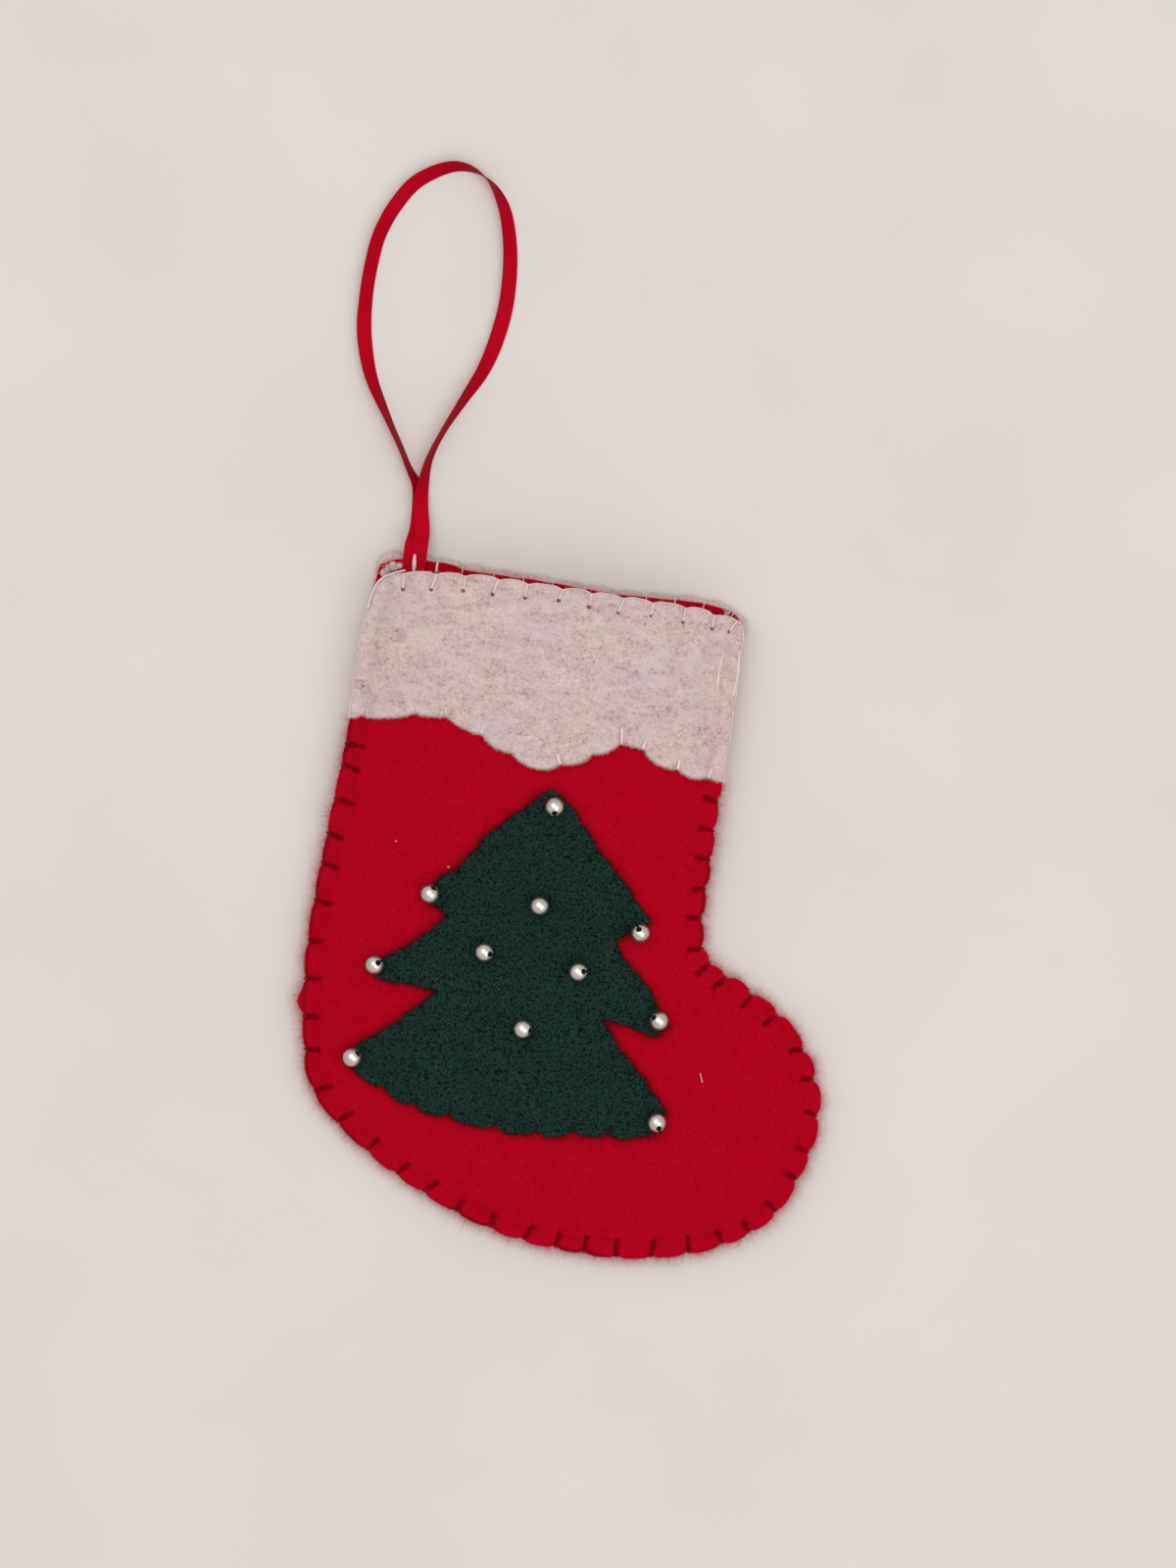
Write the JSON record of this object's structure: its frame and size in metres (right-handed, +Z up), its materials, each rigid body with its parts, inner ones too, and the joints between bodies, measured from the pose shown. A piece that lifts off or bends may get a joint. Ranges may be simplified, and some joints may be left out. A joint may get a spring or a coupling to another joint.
{
  "type": "christmas stocking ornament",
  "caption": "Hand-sewn felt Christmas stocking with a wavy cuff, a tree trimmed with pearl beads, blanket-stitched edges and a satin ribbon hanging loop.",
  "frame": {"origin": "on the table under the middle of the stocking, the ribbon loop left out of the measure", "axes": "+Z up off the table to the decorated front, +Y along the leg to the mouth, +X to the toe"},
  "size_m": [0.1153, 0.2181, 0.0172],
  "materials": {
    "red_felt": "matte wool felt",
    "white_felt": "matte wool felt",
    "green_felt": "matte wool felt",
    "red_thread": "twisted sewing thread",
    "white_thread": "twisted sewing thread",
    "green_thread": "twisted sewing thread",
    "satin_ribbon": "satin",
    "pearl": "silver pearl lustre"
  },
  "bodies": {
    "stocking": {"back_cuff": "white_felt", "back_panel": "red_felt", "front_panel": "red_felt", "front_cuff": "white_felt", "tree_applique": "green_felt", "ribbon_tails": "satin_ribbon", "edge_stitching": "red_thread", "front_mouth_stitching": "white_thread", "back_mouth_stitching": "white_thread", "cuff_heel_stitching": "white_thread", "cuff_toe_stitching": "white_thread", "front_hem_stitching": "white_thread", "tree_stitching": "green_thread", "ribbon_tack": "white_thread", "bead_thread_01": "green_thread", "bead_thread_02": "green_thread", "bead_thread_03": "green_thread", "bead_thread_04": "green_thread", "bead_thread_05": "green_thread", "bead_thread_06": "green_thread", "bead_thread_07": "green_thread", "bead_thread_08": "green_thread", "bead_thread_09": "green_thread", "bead_thread_10": "green_thread", "bead_thread_11": "green_thread"},
    "ribbon_loop": {"ribbon_loop": "satin_ribbon"},
    "bead_01": {"bead_01": "pearl"},
    "bead_02": {"bead_02": "pearl"},
    "bead_03": {"bead_03": "pearl"},
    "bead_04": {"bead_04": "pearl"},
    "bead_05": {"bead_05": "pearl"},
    "bead_06": {"bead_06": "pearl"},
    "bead_07": {"bead_07": "pearl"},
    "bead_08": {"bead_08": "pearl"},
    "bead_09": {"bead_09": "pearl"},
    "bead_10": {"bead_10": "pearl"},
    "bead_11": {"bead_11": "pearl"}
  },
  "joints": [
    {"name": "ribbon_swing", "type": "hinge", "parent": "stocking", "child": "ribbon_loop", "pos_m": [-0.04269, 0.06953, 0.00445], "axis": [1, 0, 0], "range_deg": [-70, 110]},
    {"name": "bead_01_spin", "type": "hinge", "parent": "stocking", "child": "bead_01", "pos_m": [-0.00763, 0.02128, 0.01518], "axis": [0.0984, -0.7002, 0.7071], "continuous": true},
    {"name": "bead_02_spin", "type": "hinge", "parent": "stocking", "child": "bead_02", "pos_m": [-0.03033, 0.00052, 0.01315], "axis": [0.3375, 0.7238, 0.6018], "continuous": true},
    {"name": "bead_03_spin", "type": "hinge", "parent": "stocking", "child": "bead_03", "pos_m": [-0.00802, 0.00101, 0.01323], "axis": [0.1371, -0.9752, 0.1736], "continuous": true},
    {"name": "bead_04_spin", "type": "hinge", "parent": "stocking", "child": "bead_04", "pos_m": [0.0129, -0.00185, 0.01149], "axis": [-0.2192, 0.4494, 0.866], "continuous": true},
    {"name": "bead_05_spin", "type": "hinge", "parent": "stocking", "child": "bead_05", "pos_m": [-0.01786, -0.00975, 0.0131], "axis": [0.659, -0.1162, 0.7431], "continuous": true},
    {"name": "bead_06_spin", "type": "hinge", "parent": "stocking", "child": "bead_06", "pos_m": [-0.03958, -0.0152, 0.01166], "axis": [0.3886, 0.3147, 0.866], "continuous": true},
    {"name": "bead_07_spin", "type": "hinge", "parent": "stocking", "child": "bead_07", "pos_m": [0.00149, -0.01122, 0.01301], "axis": [0.5974, 0.1489, 0.788], "continuous": true},
    {"name": "bead_08_spin", "type": "hinge", "parent": "stocking", "child": "bead_08", "pos_m": [0.019, -0.01898, 0.01211], "axis": [-0.6562, 0.3489, 0.6691], "continuous": true},
    {"name": "bead_09_spin", "type": "hinge", "parent": "stocking", "child": "bead_09", "pos_m": [-0.00815, -0.02415, 0.0131], "axis": [0.8434, -0.0886, 0.5299], "continuous": true},
    {"name": "bead_10_spin", "type": "hinge", "parent": "stocking", "child": "bead_10", "pos_m": [-0.04168, -0.03443, 0.0107], "axis": [0.582, 0.562, 0.5878], "continuous": true},
    {"name": "bead_11_spin", "type": "hinge", "parent": "stocking", "child": "bead_11", "pos_m": [0.02124, -0.03939, 0.01307], "axis": [0.3018, -0.5675, 0.766], "continuous": true}
  ]
}
